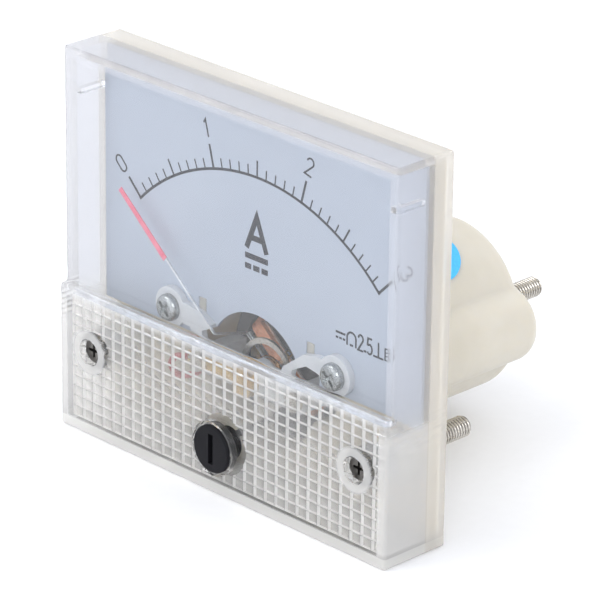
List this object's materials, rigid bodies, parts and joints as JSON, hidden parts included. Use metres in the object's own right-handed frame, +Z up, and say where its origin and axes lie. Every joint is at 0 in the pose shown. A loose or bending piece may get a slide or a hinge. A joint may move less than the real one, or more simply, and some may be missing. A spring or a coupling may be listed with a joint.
{
  "type": "panel galvanometer",
  "caption": "Small rectangular moving-coil panel ammeter: clear window and textured apron over a printed dial, round rear case, studs, swinging pointer and slotted zero adjuster.",
  "frame": {"origin": "on the plane where the meter sits against the panel, midway between its two mounting studs", "axes": "+Y along the mounting studs, into the panel and away from the dial; +Z up the dial; +X to the dial's right"},
  "size_m": [0.064, 0.059, 0.056],
  "materials": {
    "clear_plastic": "clear moulded plastic, glossy",
    "cream_plastic": "cream moulded plastic, satin",
    "white_nylon": "white moulded nylon, slightly translucent",
    "black_plastic": "black moulded plastic",
    "dial_face": "pale blue-white matt print",
    "nickel": "nickel plated, fine machining marks",
    "brass": "plain brass",
    "bronze": "phosphor bronze strip",
    "copper": "enamelled copper wire",
    "aluminium": "bare aluminium",
    "steel": "hardened steel",
    "soft_iron": "dark phosphated iron",
    "magnet": "dark cast magnet alloy",
    "red_enamel": "red enamel",
    "red_pvc": "red wire insulation",
    "black_pvc": "black wire insulation",
    "blue_label": "plain blue sticker"
  },
  "bodies": {
    "root": {"front_cover": "clear_plastic", "cover_screws": "nickel", "rear_case": "cream_plastic", "mounting_studs": "nickel", "inspection_label": "blue_label", "dial_plate": "dial_face", "dial_screws": "nickel", "front_bridge": "white_nylon", "yoke_ring": "soft_iron", "core_magnet": "magnet", "core_spacers": "brass", "rear_bridge": "white_nylon", "contact_strip": "brass", "movement_screws": "nickel", "front_jewel_screw": "brass", "rear_jewel_screw": "brass", "jewel_lock_nuts": "brass", "rear_hairspring": "bronze", "rear_spring_arm": "brass", "terminal_studs": "nickel", "terminal_washers": "nickel", "terminal_nuts": "nickel", "solder_lugs": "nickel", "shunt": "bronze", "red_lead": "red_pvc", "black_lead": "black_pvc"},
    "moving_coil": {"coil_former": "aluminium", "coil_winding": "copper", "front_shaft": "steel", "rear_shaft": "steel", "pointer_hub": "aluminium", "balance_weights": "brass", "pointer_needle": "aluminium", "pointer_tip": "red_enamel"},
    "zero_adjuster": {"zero_adjuster": "black_plastic"},
    "zero_arm": {"front_zero_arm": "nickel", "front_hairspring": "bronze"}
  },
  "joints": [
    {"name": "pointer_swing", "type": "hinge", "parent": "root", "child": "moving_coil", "pos_m": [0, 0, 0.0026], "axis": [0, 1, 0], "range_deg": [-3, 102.6], "stiffness_Nm_per_rad": 0.00002, "deforming": ["front_hairspring", "rear_hairspring"]},
    {"name": "adjuster_turn", "type": "hinge", "parent": "root", "child": "zero_adjuster", "pos_m": [0, 0, -0.0055], "axis": [0, 1, 0], "range_deg": [-45, 45]},
    {"name": "zero_arm_shift", "type": "hinge", "parent": "root", "child": "zero_arm", "pos_m": [0, 0, 0.0026], "axis": [0, 1, 0], "range_deg": [-4.6, 4.6]}
  ],
  "couplings": [
    {"joint": "zero_arm_shift", "follows": "adjuster_turn", "ratio": -0.1}
  ]
}
